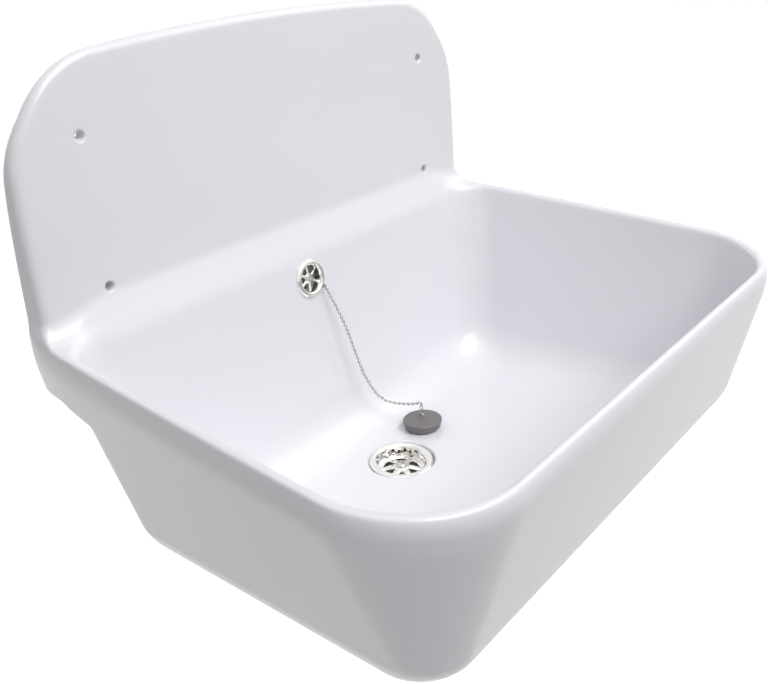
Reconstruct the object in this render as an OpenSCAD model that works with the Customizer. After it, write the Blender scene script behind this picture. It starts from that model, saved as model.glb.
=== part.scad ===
// Wall-hung mop service sink: a one-piece moulded bowl and back panel with
// chromed overflow and waste fittings, a rubber plug on a ball chain, and the
// overflow pipe behind the bowl. Millimetres, +Z up, +X right, +Y into the wall.
// The origin is on the wall, in the middle of the four fixing holes.

/* [Bowl] */
// Width over the lip at the front
bowl_w = 575; // [500:1:640]
// Width where the sink meets the wall
wall_w = 534; // [470:1:560]
// Depth from the wall to the front of the lip
bowl_d = 401; // [340:1:460]
// Height of the rim over the floor at the waste
floor_depth = 192; // [160:1:230]
// Thickness of the bowl's skin
skin = 5; // [4:0.5:7]
// Draft of the side walls, in degrees
side_draft = 11.3; // [6:0.1:14]
// Draft of the front wall, in degrees
front_draft = 10.8; // [6:0.1:14]
// Draft of the back wall, in degrees
back_draft = 11.3; // [6:0.1:14]
// Fall of the floor towards the wall, in degrees
floor_fall = 5; // [1:0.5:6]
// Outer radius of the front corners, seen from above
front_corner_r = 74; // [50:1:90]
// Inner radius of the back corners, seen from above
back_corner_r = 37; // [25:1:50]
// Outer radius between the walls and the bottom
bottom_r = 58; // [40:1:70]
// Extra reach of the bottom radius at the front
front_sweep = 17; // [0:1:25]
// Height of the rounded lip
lip_h = 18; // [12:1:24]
// Distance of the lip's inner edge from its outer face
lip_in = 5.5; // [5:0.5:8]
// Distance of the bowl's back wall from the wall at the overflow
back_wall_y = 39; // [37:1:48]

/* [Back panel] */
// Height of the panel over the rim, in the middle
panel_h = 211; // [190:1:250]
// Depth of the panel at the rim
panel_d = 23; // [20:0.5:30]
// Lean of the panel's face, in degrees
panel_lean = 4.5; // [2:0.1:5]
// Thickness of the panel's skin
panel_skin = 4; // [3:0.5:5]
// Radius of the panel's top corners
panel_corner_r = 78; // [50:1:85]
// Drop of the top edge from the middle to a corner
panel_arch = 7; // [0:1:12]
// Narrowing of each side up to the top corner
panel_taper = 3; // [0:0.5:8]
// Radius of the panel's front edges
panel_edge_r = 7; // [3:0.5:9]
// Height of the flange below the rim
flange_h = 48.5; // [44:1:58]
// Radius of the hollow between the panel and the ledge
ledge_r = 26; // [18:1:32]

/* [Wall fixing] */
// Distance between the two columns of holes
hole_span_x = 410; // [340:1:440]
// Distance between the two rows of holes
hole_span_z = 118; // [90:1:130]
// Height of the lower holes over the rim
hole_rise = 26; // [22:1:34]
// Diameter of the fixing holes
hole_d = 8; // [6:0.5:10]
// Diameter of the bosses behind the fixing holes
boss_d = 20; // [16:1:26]
// Thickness of the ribs behind the panel
rib_t = 3; // [2:0.5:4]

/* [Waste] */
// Distance of the waste from the wall
waste_y = 150; // [140:1:190]
// Diameter of the waste flange
flange_d = 63; // [60:0.5:70]
// Diameter of the throat under the plug
throat_d = 38; // [34:0.5:40]
// Diameter of the hole in the bowl
waste_hole_d = 50; // [48:0.5:52]
// Thickness of the flange seal
seal_t = 1.5; // [1:0.5:3]
// Thickness of the seal under the bowl
under_seal_t = 3; // [2:0.5:5]
// Number of arms in the strainer
strainer_arms = 6; // [4:1:8]
// Height of the waste body
waste_body_h = 56; // [50:1:70]
// Diameter of the outlet thread
outlet_d = 47.8; // [44:0.1:50]
// Length of the outlet thread
outlet_l = 22; // [16:1:30]

/* [Overflow] */
// Depth of the overflow below the rim
overflow_drop = 31; // [30:1:40]
// Diameter of the overflow face
rosette_d = 38; // [34:0.5:42]
// Diameter of the overflow hole in the bowl
overflow_hole_d = 26; // [22:0.5:28]
// Diameter of the overflow pipe
pipe_d = 20; // [16:0.5:22]
// Wall of the overflow pipe
pipe_t = 2; // [1.5:0.5:3]
// Diameter of the union nuts
nut_d = 29; // [28.5:0.5:30]
// Length of the union nuts
nut_l = 15; // [12:1:20]

/* [Plug and chain] */
// Diameter of the plug's top
plug_d = 40; // [39:0.5:44]
// Diameter of the plug's foot
plug_foot_d = 36.5; // [34:0.5:37.5]
// Height of the plug
plug_h = 9; // [8:0.5:12]
// Where the plug stands, to the right of the middle
plug_x = 61.5; // [55:0.5:80]
// Where the plug stands, from the wall
plug_y = 129.5; // [128:0.5:140]
// Diameter of a bead of the chain
bead_d = 3.4; // [2.4:0.1:3.6]
// Distance between the beads of the chain
bead_pitch = 4.7; // [4:0.1:6]

/* [Hidden] */

$fn = 64;
eps = 0.01;
cut = 1;

// Levels: the rim stands below the middle of the fixing holes
rim_z = -(hole_span_z / 2 + hole_rise);
lean = tan(panel_lean);
side_slope = tan(side_draft);
front_slope = tan(front_draft);
back_slope = tan(back_draft);
fall = tan(floor_fall);

// Places of the fittings
seat_z = -floor_depth - seal_t - 2;
under_z = seat_z - skin - 3;
over_tilt = back_draft;

// ---------------------------------------------------------------- lofts
// Points of a loft's rings as one list, and the faces that join them
corner_steps = 7;
side_steps = 8;
function arc(cx, cy, r, a0, a1, n) =
    [for (i = [0:n]) [cx + r * cos(a0 + (a1 - a0) * i / n), cy + r * sin(a0 + (a1 - a0) * i / n)]];
function between(p, q, n) = [for (i = [1:n - 1]) p + (q - p) * i / n];

// Rounded plan: half width w, from y_front to y_back
function plan(w, y_front, y_back, r_front, r_back) = concat(
    arc(w - r_back, y_back - r_back, r_back, 0, 90, corner_steps),
    arc(r_back - w, y_back - r_back, r_back, 90, 180, corner_steps),
    between([-w, y_back - r_back], [-w, y_front + r_front], side_steps),
    arc(r_front - w, y_front + r_front, r_front, 180, 270, corner_steps),
    arc(w - r_front, y_front + r_front, r_front, 270, 360, corner_steps),
    between([w, y_front + r_front], [w, y_back - r_back], side_steps));

// The sink is narrower at the wall than at the front
flare_run = bowl_d - front_corner_r;
low_flare = 0.6;
function flare(y, low) =
    let (t = max(0, min(1, -y / flare_run)))
    (wall_w + (bowl_w - wall_w) * ((1 - low) * pow(t, 0.5) + low * low_flare * t)) / bowl_w;

// Rise of the floor in front of the waste
function rise(y) = fall * (-waste_y - y);

function ring(z, inset, front_inset, y_back, r_front, r_back, tilt) =
    [for (p = plan(bowl_w / 2 - inset, front_inset - bowl_d, y_back, r_front, r_back))
        [p[0] * flare(p[1], tilt), p[1], z + rim_z + tilt * rise(p[1])]];

function ring_faces(n, k) = [for (j = [0:k - 2], i = [0:n - 1], h = [0:1])
    let (a = j * n + i, b = j * n + (i + 1) % n)
    h == 0 ? [a, b, b + n] : [a, b + n, a + n]];

module loft(rings) {
    n = len(rings[0]);
    k = len(rings);
    bottom = [for (i = [0:n - 1]) i];
    top = [for (i = [n - 1:-1:0]) (k - 1) * n + i];
    polyhedron(points = [for (r = rings) each r],
        faces = concat([bottom], [for (f = ring_faces(n, k)) [f[0], f[2], f[1]]], [top]));
}

// ---------------------------------------------------------------- bowl
// Side of the bowl: a drafted wall that turns into the bottom by an arc
arc_end = 90 - side_draft;
arc_steps = 6;
function wall_inset(z) = side_slope * max(0, -lip_h - z);
function front_inset(z, tilt) = front_slope * max(0, -lip_h - z - tilt * rise(-bowl_d));

// Back wall: drafted up to the overflow's top, then an S-curve into the panel
roll_low = -overflow_drop + rosette_d / 2 - 2;
roll_high = ledge_r + 2;
function face_y(z) = -(panel_d - lean * z);
function low_back(z) = -back_wall_y - back_slope * (-overflow_drop - z);
function tilted_back(z, tilt) = low_back(z + tilt * rise(-back_wall_y));
function s_blend(t, m0, m1) =
    m0 * (t * t * t - 2 * t * t + t) + (3 * t * t - 2 * t * t * t) + m1 * (t * t * t - t * t);
roll_run = roll_high - roll_low;
roll_reach = face_y(roll_high) - 0.3 - low_back(roll_low);
function back_y(z) = z <= roll_low ? low_back(z)
    : z >= roll_high ? face_y(z) - 0.3
    : low_back(roll_low) + roll_reach * s_blend((z - roll_low) / roll_run,
        back_slope * roll_run / roll_reach, lean * roll_run / roll_reach);

// The back corners are sharper outside, and more so further down
back_sharp = 9;
function back_corner(off, low) = off > 0 ? back_corner_r : back_corner_r - back_sharp * (0.7 + low);

// Rings of the round bottom edge, from the flat bottom to the wall
function bottom_rings(floor_z, r, off) =
    [for (i = [0:arc_steps])
        let (a = arc_end * i / arc_steps,
            z_end = floor_z + r * (1 - cos(arc_end)),
            z = floor_z + r * (1 - cos(a)),
            reach = r * (sin(arc_end) - sin(a)),
            sweep = front_sweep * (1 - sin(a) / sin(arc_end)))
        ring(z, off + wall_inset(z_end) + reach, off + front_inset(z_end, 1) + reach + sweep,
            tilted_back(z_end, 1) + skin - off - reach, front_corner_r * 0.62 - off,
            back_corner(off, 1), 1)];

outer_floor = -floor_depth - skin;
outer_top = outer_floor + bottom_r * (1 - cos(arc_end));
wall_steps = 4;
function wall_rings(z0, z1, off) =
    [for (i = [1:wall_steps])
        let (t = i / wall_steps, z = z0 + (z1 - z0) * t,
            fade = 1 - (z - z0) / (-lip_h - z0))
        ring(z, off + wall_inset(z), off + front_inset(z, fade), tilted_back(z, fade) + skin - off,
            front_corner_r * (1 - 0.38 * fade) - off, back_corner(off, fade), fade)];

// Outer half of the lip, a quarter of an ellipse
lip_round = 3;
lip_steps = 4;
function lip_rings() = [for (i = [0:lip_steps])
    let (a = 90 * i / lip_steps)
    ring(-lip_h * (1 - sin(a)), lip_round * (1 - cos(a)), lip_round * (1 - cos(a)), 0,
        front_corner_r - lip_round * (1 - cos(a)), 2, 0)];

under_r = 12;
module bowl_outside() {
    z_low = -flange_h - under_r;
    loft(concat(
        bottom_rings(outer_floor, bottom_r, 0),
        wall_rings(outer_top, z_low, 0),
        [for (a = [30, 60, 85])
            let (z = z_low + under_r * sin(a),
                fade = 1 - (z - outer_top) / (-lip_h - outer_top))
            ring(z, wall_inset(z), front_inset(z, fade),
                tilted_back(z_low, fade) + skin + under_r * (1 - cos(a)),
                front_corner_r * (1 - 0.38 * fade), back_corner(0, fade) * (1 - 0.5 * sin(a)), fade)],
        [let (fade = 1 - (-flange_h + 1 - outer_top) / (-lip_h - outer_top))
            ring(-flange_h + 1, wall_inset(-flange_h + 1), front_inset(-flange_h + 1, fade), 0,
                front_corner_r * (1 - 0.38 * fade), 2, fade)],
        lip_rings()));
}

inner_r = bottom_r - skin;
inner_top = -floor_depth + inner_r * (1 - cos(arc_end));
inner_steps = 6;
lip_edge = 1;
function inner_ring(z) =
    let (low = z / inner_top)
    ring(z, lip_in + (skin + wall_inset(inner_top) - lip_in) * low,
        lip_in + (skin + front_inset(inner_top, 1) - lip_in) * low,
        z > roll_low ? back_y(z) : tilted_back(z, low * low),
        front_corner_r * (1 - 0.38 * low) - lip_in, back_corner_r, low * low);
module bowl_inside() {
    loft(concat(
        bottom_rings(-floor_depth, inner_r, skin),
        [for (i = [1:inner_steps - 1]) inner_ring(inner_top + (roll_low - inner_top) * i / inner_steps)],
        [for (z = [roll_low, roll_low / 2, 0]) inner_ring(z)],
        [for (i = [0:6])
            let (z = lip_edge + (roll_high - lip_edge) * i / 6)
            ring(z, lip_in - lip_edge, lip_in - lip_edge, back_y(z), front_corner_r - lip_in,
                back_corner_r, 0)]));
}

// ---------------------------------------------------------------- panel
top_steps = 10;
panel_shoulder = wall_w / 2 - panel_taper - panel_corner_r;
function panel_top(x) = panel_h - panel_arch * pow(x / panel_shoulder, 2);
shoulder_z = panel_top(panel_shoulder) - panel_corner_r;
function panel_w(z) = wall_w / 2 - panel_taper * pow(max(0, z) / shoulder_z, 4);

// Front view of the panel, inset all round, from z_low up; heights from the rim
taper_steps = 4;
function panel_outline(inset, z_low) = concat(
    [[-panel_w(0) + inset, z_low]],
    [[panel_w(0) - inset, z_low]],
    [for (i = [0:taper_steps - 1]) let (z = shoulder_z * i / taper_steps) [panel_w(z) - inset, z]],
    arc(panel_shoulder, shoulder_z, panel_corner_r - inset, 0, 90, corner_steps + 2),
    [for (i = [1:top_steps - 1])
        let (x = panel_shoulder * (1 - 2 * i / top_steps))
        [x, panel_top(x) - inset]],
    arc(-panel_shoulder, shoulder_z, panel_corner_r - inset, 90, 180, corner_steps + 2),
    [for (i = [taper_steps - 1:-1:0])
        let (z = shoulder_z * i / taper_steps) [-panel_w(z) + inset, z]]);

// Ring of the panel at a share of its depth; back is how far it stays behind the face
function panel_ring(inset, back) =
    [for (p = panel_outline(inset, -lip_h)) [p[0], face_y(p[1]) + back, p[1] + rim_z]];
module panel_outside() {
    draft_in = 1.5;
    loft(concat(
        [[for (p = panel_outline(0, -lip_h)) [p[0], 0, p[1] + rim_z]]],
        [for (a = [0:22.5:90])
            panel_ring(draft_in + panel_edge_r * (1 - cos(a)), panel_edge_r * (1 - sin(a)))]));
}

// Ledge between the panel and the rim, hollow towards the panel
ledge_steps = 6;
ledge_side = 8;
function ledge_ring(z, y_front, inset) =
    [for (p = [[1, 0], [-1, 0], [-1, 0.5], [-1, 1], [1, 1], [1, 0.5]])
        let (y = -5 + (y_front + 5) * p[1])
        [p[0] * (flare(y, 0) * bowl_w / 2 - inset), y, z + rim_z]];
module ledge() {
    loft(concat(
        [ledge_ring(-lip_h / 2, face_y(0) - ledge_r, lip_round)],
        [for (i = [0:ledge_steps])
            let (a = 90 * i / ledge_steps, z = ledge_r * (1 - cos(a)))
            ledge_ring(z + 0.02, face_y(z) + ledge_r * (sin(a) - 1) - 0.1,
                lip_round + (ledge_side - lip_round) * (1 - cos(a)))]));
}

// Hollow behind the panel, open to the wall
pocket_low = -flange_h + panel_skin + 1;
function pocket_front(z) = z > roll_high ? face_y(z) + panel_skin : back_y(z) + skin;
pocket_levels = [for (i = [0:8]) pocket_low + (roll_high - pocket_low) * i / 8];
module pocket() {
    difference() {
        intersection() {
            rotate([90, 0, 90])
                linear_extrude(height = bowl_w, center = true)
                    polygon(concat(
                        [[cut, rim_z + pocket_low]],
                        [for (z = pocket_levels) [pocket_front(z), z + rim_z]],
                        [[face_y(panel_h) + panel_skin, panel_h + rim_z]],
                        [[cut, panel_h + rim_z]]));
            translate([0, cut, 0])
                rotate([90, 0, 0])
                    linear_extrude(height = bowl_d / 2)
                        polygon([for (p = panel_outline(panel_skin + 2, pocket_low - 1))
                            [p[0], p[1] + rim_z]]);
        }
        fixing_holes(boss_d, bowl_d / 4);
        for (x = [-1, -1 / 3, 1 / 3, 1] * hole_span_x / 2)
            panel_rib(x);
    }
}
module panel_rib(x) {
    translate([x - rib_t / 2, -bowl_d / 4, rim_z - flange_h])
        cube([rib_t, bowl_d / 4 - 2, panel_h + flange_h]);
}

// One round bar along Y at each fixing hole
module fixing_holes(d, l) {
    for (x = [-1, 1] * hole_span_x / 2, z = [-1, 1] * hole_span_z / 2)
        translate([x, cut, z])
            rotate([90, 0, 0])
                cylinder(d = d, h = l + cut);
}

// Frame of the overflow: its Z axis points out of the back wall's face
module at_overflow() {
    translate([0, -back_wall_y, rim_z - overflow_drop])
        rotate([90 - over_tilt, 0, 0])
            children();
}

module basin() {
    color("white")
        difference() {
            union() {
                difference() {
                    union() {
                        bowl_outside();
                        panel_outside();
                        ledge();
                    }
                    bowl_inside();
                    pocket();
                }
                waste_pad();
            }
            translate([0, -waste_y, rim_z + seat_z])
                cylinder(d = flange_d + 2, h = skin * 3);
            translate([0, -waste_y, rim_z + under_z - cut])
                cylinder(d = waste_hole_d, h = floor_depth / 2);
            at_overflow()
                translate([0, 0, -skin * 2])
                    cylinder(d = overflow_hole_d, h = skin * 4);
            at_overflow()
                cylinder(d = rosette_d + 1, h = 1);
            at_overflow()
                translate([0, 0, -skin - 2])
                    cylinder(d = elbow_flange_d + 1, h = 2);
            overflow_notch();
            fixing_holes(hole_d, bowl_d / 4);
        }
}

// Thick pad that gives the waste a level seat in the falling floor
module waste_pad() {
    translate([0, -waste_y, rim_z + under_z])
        cylinder(d = flange_d + 12, h = seat_z - under_z + cut);
}

// Gap in the lower flange for the overflow pipe and its elbow
notch_w = nut_d + 12;
module overflow_notch() {
    at_overflow()
        translate([-notch_w / 2, -flange_h, -skin - 1 - bowl_d / 4])
            cube([notch_w, flange_h + 4, bowl_d / 4]);
}

// ---------------------------------------------------------------- waste
module at_waste(z) {
    translate([0, -waste_y, rim_z + z])
        children();
}
flange_t = 2;
flange_bottom = seat_z + seal_t;
cup_h = 18;
cup_wall = 2.5;
grid_t = 3;
hub_d = 13;
mouth_r = throat_d / 2 + 5;
module waste_flange() {
    color("gainsboro")
        at_waste(flange_bottom)
            difference() {
                union() {
                    rotate_extrude()
                        polygon([[throat_d / 2, -8], [mouth_r - 1.5, flange_t - 1], [mouth_r, flange_t],
                            [flange_d / 2 - 1.5, flange_t], [flange_d / 2 - 0.4, flange_t - 0.6],
                            [flange_d / 2, flange_t / 2], [flange_d / 2, 0], [mouth_r, 0], [mouth_r, -6],
                            [throat_d / 2 + cup_wall, -12], [throat_d / 2 + cup_wall, -cup_h],
                            [throat_d / 2, -cup_h]]);
                    translate([0, 0, -cup_h])
                        cylinder(d = throat_d + cup_wall, h = grid_t);
                    translate([0, 0, -cup_h])
                        cylinder(d = hub_d, h = grid_t + 2);
                }
                for (i = [0:strainer_arms - 1])
                    rotate([0, 0, (i + 0.5) * 360 / strainer_arms])
                        strainer_slot();
                translate([0, 0, -cup_h - cut])
                    cylinder(d = screw_d + 0.5, h = grid_t + 4);
            }
}
// One opening between two arms: a wedge with a round outer end
arm_w = 3;
module strainer_slot() {
    r_in = hub_d / 2 + 1;
    r_out = throat_d / 2 - 1.5;
    half = 180 / strainer_arms;
    a_in = half - asin(arm_w / 2 / r_in);
    a_out = half - asin(arm_w / 2 / r_out);
    translate([0, 0, -cup_h - cut])
        linear_extrude(height = grid_t + 2 * cut)
            polygon(concat(arc(0, 0, r_out, -a_out, a_out, 8), arc(0, 0, r_in, a_in, -a_in, 4)));
}

screw_d = 8;
head_h = 3.5;
head_d = 12;
screw_l = 44;
module waste_screw() {
    color("silver")
        at_waste(flange_bottom - cup_h + grid_t + 2)
            difference() {
                union() {
                    cylinder(d1 = head_d, d2 = head_d - 3, h = head_h);
                    translate([0, 0, -screw_l])
                        cylinder(d = screw_d, h = screw_l + eps);
                }
                translate([-head_d, -0.8, head_h - 1.5])
                    cube([2 * head_d, 1.6, 3]);
            }
}

module flange_seal() {
    color("dimgray")
        at_waste(seat_z)
            tube(flange_d - 3, waste_hole_d + 1, seal_t);
}
module under_seal() {
    color("dimgray")
        at_waste(under_z - under_seal_t)
            tube(flange_d + 4, waste_hole_d + 1, under_seal_t);
}
module tube(outer, inner, h) {
    difference() {
        cylinder(d = outer, h = h);
        translate([0, 0, -cut])
            cylinder(d = inner, h = h + 2 * cut);
    }
}

// Cup under the bowl with the overflow inlet and the outlet thread
body_top = under_z - under_seal_t;
body_wall = 3;
body_d = waste_hole_d + 6;
inlet_z = body_top - waste_body_h * 0.58;
insert_d = 16;
insert_h = 10;
insert_z = flange_bottom - cup_h + grid_t + 2 - screw_l;
module waste_body() {
    outlet_in = outlet_d - 2 * body_wall - 1;
    color("whitesmoke")
        difference() {
            union() {
                at_waste(body_top - waste_body_h)
                    cylinder(d = body_d, h = waste_body_h);
                at_waste(body_top - 4)
                    cylinder(d = flange_d + 6, h = 4);
                at_waste(body_top - waste_body_h - outlet_l)
                    cylinder(d = outlet_d, h = outlet_l + eps);
                translate([0, -waste_y, rim_z + inlet_z])
                    rotate([-90, 0, 0])
                        cylinder(d = spout_d, h = inlet_reach);
            }
            at_waste(body_top - waste_body_h + body_wall)
                cylinder(d = body_d - 2 * body_wall, h = waste_body_h);
            at_waste(body_top - waste_body_h - outlet_l - cut)
                cylinder(d = outlet_in, h = outlet_l + 2 * body_wall + cut);
            translate([0, -waste_y, rim_z + inlet_z])
                rotate([-90, 0, 0])
                    cylinder(d = pipe_d + clear, h = inlet_reach + cut);
        }
    color("whitesmoke")
        insert_bridge();
}
clear = 0.4;
inlet_reach = body_d / 2 + 14;
// Bridge across the cup that holds the nut for the long screw
module insert_bridge() {
    at_waste(insert_z - 2)
        difference() {
            union() {
                cylinder(d = insert_d + 6, h = insert_h + 2);
                translate([-body_d / 2 + 1, -2.5, 0])
                    cube([body_d - 2, 5, insert_h]);
            }
            translate([0, 0, 2])
                cylinder(d = insert_d, h = insert_h + cut);
            translate([0, 0, -cut])
                cylinder(d = screw_d + 1, h = insert_h);
        }
}
module waste_nut_insert() {
    color("goldenrod")
        at_waste(insert_z)
            tube(insert_d, screw_d, insert_h);
}

// ---------------------------------------------------------------- overflow
rosette_t = 2;
recess_d = 26;
stay_x = 12;
stay_y = -11;
stay_d = 1.6;
module overflow_rosette() {
    color("gainsboro")
        at_overflow()
            difference() {
                union() {
                    rotate_extrude()
                        polygon([[0, -5], [recess_d / 2 - 1, -5], [recess_d / 2 - 0.6, 0], [rosette_d / 2, 0],
                            [rosette_d / 2, 0.8], [rosette_d / 2 - 1.2, 1.8], [rosette_d / 2 - 3, rosette_t],
                            [recess_d / 2 + 0.6, rosette_t], [recess_d / 2 - 1.6, 0], [recess_d / 2 - 2.6, -3],
                            [0, -3]]);
                    translate([0, 0, -4])
                        cylinder(d = 9, h = 3);
                }
                for (i = [0:5])
                    rotate([0, 0, i * 60 + 30])
                        translate([7.6, 0, -6])
                            cylinder(d = 4.4, h = 5);
                translate([0, 0, -7])
                    cylinder(d = 5.4, h = 8);
                translate([stay_x, stay_y, -cut])
                    cylinder(d = stay_d, h = rosette_t + 2 * cut);
            }
}
module overflow_screw() {
    color("silver")
        at_overflow()
            difference() {
                union() {
                    translate([0, 0, -1])
                        cylinder(d1 = 8.6, d2 = 6, h = 2);
                    translate([0, 0, -20])
                        cylinder(d = 5, h = 19 + eps);
                }
                translate([-5, -0.5, 0])
                    cube([10, 1, 2]);
            }
}
elbow_flange_d = rosette_d - 2;
spout_d = pipe_d + 4;
module overflow_seal() {
    color("dimgray")
        at_overflow()
            translate([0, 0, -skin - 2])
                tube(elbow_flange_d, overflow_hole_d + 1, 2);
}
// Cup behind the bowl with a spout that points straight down
cup_back = 26;
spout_back = skin + 2.5 + spout_d / 2;
spout_y = -back_wall_y + spout_back * cos(over_tilt);
spout_top = rim_z - overflow_drop - spout_back * sin(over_tilt);
spout_l = 34;
module overflow_elbow() {
    color("whitesmoke")
        difference() {
            union() {
                at_overflow()
                    translate([0, 0, -skin - 5])
                        cylinder(d = elbow_flange_d, h = 3);
                at_overflow()
                    translate([0, 0, -skin - cup_back])
                        cylinder(d = overflow_hole_d + 4, h = cup_back - 3);
                translate([0, spout_y, spout_top - spout_l])
                    cylinder(d = spout_d, h = spout_l);
            }
            at_overflow()
                translate([0, 0, -skin - cup_back + 2])
                    difference() {
                        cylinder(d = overflow_hole_d, h = cup_back);
                        cylinder(d = 12, h = 8);
                        translate([-20, -1.5, 0])
                            cube([40, 3, 8]);
                    }
            at_overflow()
                translate([0, 0, -skin - cup_back + 3])
                    cylinder(d = 9, h = 8);
            translate([0, spout_y, spout_top - spout_l - cut])
                cylinder(d = pipe_d + clear, h = spout_l - 6);
        }
}
module elbow_nut_insert() {
    color("goldenrod")
        at_overflow()
            translate([0, 0, -skin - cup_back + 3])
                tube(9, 5, 7);
}

// Pipe from the elbow down behind the bowl and forward to the waste
bend_r = 34;
pipe_top = spout_top - 22;
pipe_low = rim_z + inlet_z;
pipe_end = -waste_y + body_d / 2 + 2;
module pipe_line(d) {
    translate([0, spout_y, pipe_low + bend_r])
        cylinder(d = d, h = pipe_top - pipe_low - bend_r);
    translate([0, spout_y - bend_r, pipe_low + bend_r])
        rotate([90, 0, -90])
            rotate_extrude(angle = 90)
                translate([-bend_r, 0])
                    circle(d = d);
    translate([0, pipe_end, pipe_low])
        rotate([-90, 0, 0])
            cylinder(d = d, h = spout_y - bend_r - pipe_end);
}
module overflow_pipe() {
    color("whitesmoke")
        difference() {
            pipe_line(pipe_d);
            pipe_line(pipe_d - 2 * pipe_t);
            translate([0, spout_y, pipe_top - eps])
                cylinder(d = pipe_d - 2 * pipe_t, h = cut);
            translate([0, pipe_end + eps, pipe_low])
                rotate([90, 0, 0])
                    cylinder(d = pipe_d - 2 * pipe_t, h = cut);
        }
}

// Union nut: a fluted ring with an inner shoulder that holds the pipe
seal_gap = 4;
module union_nut() {
    difference() {
        cylinder(d = nut_d, h = nut_l);
        translate([0, 0, 3])
            cylinder(d = spout_d + clear, h = nut_l);
        translate([0, 0, -cut])
            cylinder(d = pipe_d + clear, h = nut_l);
        for (i = [0:11])
            rotate([0, 0, i * 30])
                translate([nut_d / 2 + 0.6, 0, 2])
                    cylinder(d = 3.4, h = nut_l);
    }
}
module cone_seal() {
    difference() {
        cylinder(d1 = spout_d, d2 = spout_d - 1, h = seal_gap);
        translate([0, 0, -cut])
            cylinder(d = pipe_d, h = seal_gap + 2 * cut);
    }
}
upper_nut_z = spout_top - spout_l - seal_gap - 3;
module upper_union_nut() {
    color("white")
        translate([0, spout_y, upper_nut_z])
            union_nut();
}
module upper_cone_seal() {
    color("dimgray")
        translate([0, spout_y, upper_nut_z + 3])
            cone_seal();
}
lower_nut_y = -waste_y + inlet_reach + seal_gap + 3;
module lower_union_nut() {
    color("white")
        translate([0, lower_nut_y, pipe_low])
            rotate([90, 0, 0])
                union_nut();
}
module lower_cone_seal() {
    color("dimgray")
        translate([0, lower_nut_y - 3, pipe_low])
            rotate([90, 0, 0])
                cone_seal();
}

// ---------------------------------------------------------------- plug and chain
plug_gap = 0.7;
plug_low = rim_z - floor_depth + rise(-plug_y) + plug_gap;
plug_top = plug_low + plug_h;
module at_plug() {
    translate([plug_x, -plug_y, plug_low])
        rotate([-floor_fall, 0, 0])
            children();
}
module plug() {
    color("dimgray")
        at_plug()
            rotate_extrude()
                polygon([[0, 0], [plug_foot_d / 2 - 1, 0], [plug_foot_d / 2, 1], [plug_d / 2, plug_h - 2],
                    [plug_d / 2, plug_h - 0.7], [plug_d / 2 - 0.7, plug_h], [0, plug_h]]);
}
// Washer and upright ring on the plug
wire_d = 1.1;
eye_r = 2.4;
eye_z = 3.4;
module plug_eye() {
    color("silver")
        at_plug()
            translate([0, 0, plug_h])
                union() {
                    cylinder(d = 9, h = 0.8);
                    translate([0, 0, 0.4])
                        cylinder(d = 2, h = eye_z - eye_r);
                    translate([0, 0, eye_z])
                        rotate([90, 0, 0])
                            ring_wire(eye_r);
                }
}
module ring_wire(r) {
    rotate_extrude()
        translate([r, 0])
            circle(d = wire_d, $fn = 16);
}
// Long link: two straight wires joined by a half ring at each end
link_r = 1.7;
link_l = 8.5;
link_z = eye_z + eye_r - wire_d - 0.1;
module chain_link() {
    color("silver")
        at_plug()
            translate([0, 0, plug_h + link_z + link_r])
                rotate([90, 0, 90])
                    union() {
                        for (s = [0, 1])
                            translate([0, s * link_l])
                                rotate([0, 0, 180 + 180 * s])
                                    rotate_extrude(angle = 180)
                                        translate([link_r, 0])
                                            circle(d = wire_d, $fn = 16);
                        for (x = [-link_r, link_r])
                            translate([x, 0, 0])
                                rotate([-90, 0, 0])
                                    cylinder(d = wire_d, h = link_l, $fn = 16);
                    }
}

// Route of the chain from the overflow to the plug; heights from the rim
route = [[13, -48, -43.5], [15, -51, -52], [18, -56, -64], [21, -60.5, -77], [23.5, -65, -91],
    [26, -69, -106], [28.5, -73, -121], [31, -77.5, -136], [34.5, -83, -149], [38, -89, -159],
    [42.5, -96, -165.5], [47.5, -104, -168], [53, -113, -168.5], [58, -121, -167.5],
    [61.5, -127, -165.5]];
function seg_len(i) = norm(route[i + 1] - route[i]);
function run_to(i) = i == 0 ? 0 : run_to(i - 1) + seg_len(i - 1);
chain_l = run_to(len(route) - 1);
function seg_at(s, i = 0) = i >= len(route) - 2 || run_to(i + 1) >= s ? i : seg_at(s, i + 1);
function on_route(s) = let (i = seg_at(s), t = (s - run_to(i)) / seg_len(i))
    route[i] + (route[i + 1] - route[i]) * t;
bead_n = floor(chain_l / bead_pitch);
// Angles that keep a bead's poles and its seam clear of the wires
bead_turn = [0, 90, 32];
bead_seam = 210;
// Piece of wire from inside one bead to inside the next
module bar(p, q, into = bead_d / 4) {
    v = q - p;
    translate(p + [0, 0, rim_z])
        rotate([0, acos(v[2] / norm(v)), atan2(v[1], v[0])])
            translate([0, 0, bead_d / 4])
                cylinder(d = wire_d, h = norm(v) - bead_d / 4 - into, $fn = 14);
}
module ball_chain() {
    color("silver")
        union() {
            for (i = [0:bead_n])
                translate(on_route(i * bead_pitch) + [0, 0, rim_z])
                    rotate(bead_turn)
                        rotate([0, 0, bead_seam])
                            sphere(d = bead_d, $fn = 14);
            for (i = [0:bead_n - 1])
                bar(on_route(i * bead_pitch), on_route((i + 1) * bead_pitch));
            bar(on_route(bead_n * bead_pitch), route[len(route) - 1], 0);
        }
}

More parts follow.
